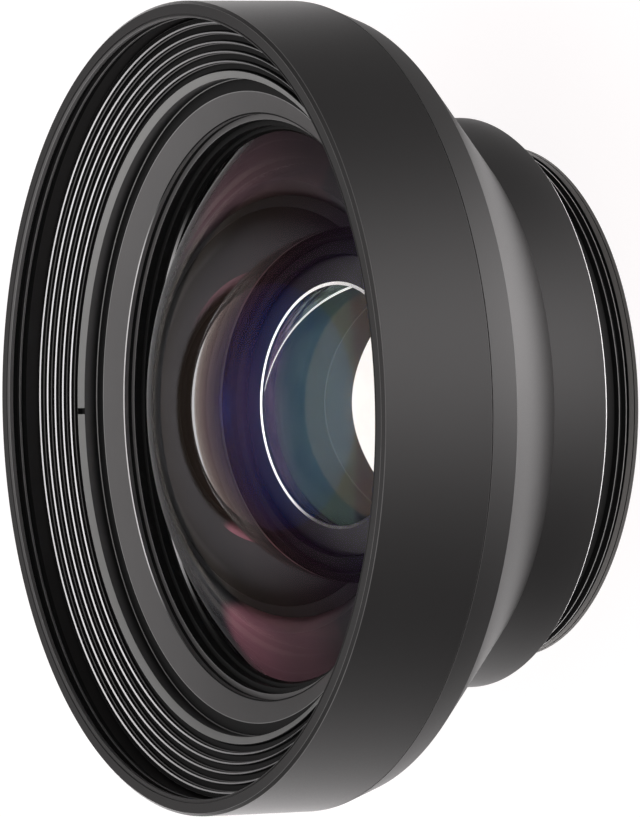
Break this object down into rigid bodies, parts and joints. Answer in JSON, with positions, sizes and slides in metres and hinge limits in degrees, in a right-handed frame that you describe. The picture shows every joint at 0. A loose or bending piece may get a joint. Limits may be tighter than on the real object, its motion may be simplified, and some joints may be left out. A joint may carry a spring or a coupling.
{
  "type": "wide-angle conversion lens",
  "caption": "Black bell-shaped wide-angle conversion lens with a domed coated front glass, ribbed light-trap ring and a threaded rear mount.",
  "frame": {"origin": "centre of the rear end face, on the optical axis, where the lens stands", "axes": "+Z along the optical axis from the rear thread to the domed front glass; +X through the spanner notches of the baffle ring"},
  "size_m": [0.0768, 0.0768, 0.0352],
  "materials": {
    "anodised_body": "satin black anodising",
    "matt_black": "matt black paint over aluminium",
    "coated_glass": "polished glass with an anti-reflection coating that reflects violet, amber and teal",
    "shim_brass": "plain sheet brass",
    "screw_steel": "blackened steel"
  },
  "bodies": {
    "root": {"hood_ring": "anodised_body", "lens_barrel": "anodised_body", "baffle_ring": "anodised_body", "front_retaining_ring": "anodised_body", "front_element": "coated_glass", "front_shim": "shim_brass", "spacer_ring": "matt_black", "rear_cell": "matt_black", "rear_element": "coated_glass", "rear_retaining_ring": "matt_black", "mount_ring": "anodised_body", "rear_plate": "matt_black", "mount_screw_1": "screw_steel", "mount_screw_2": "screw_steel", "mount_screw_3": "screw_steel"}
  },
  "joints": []
}
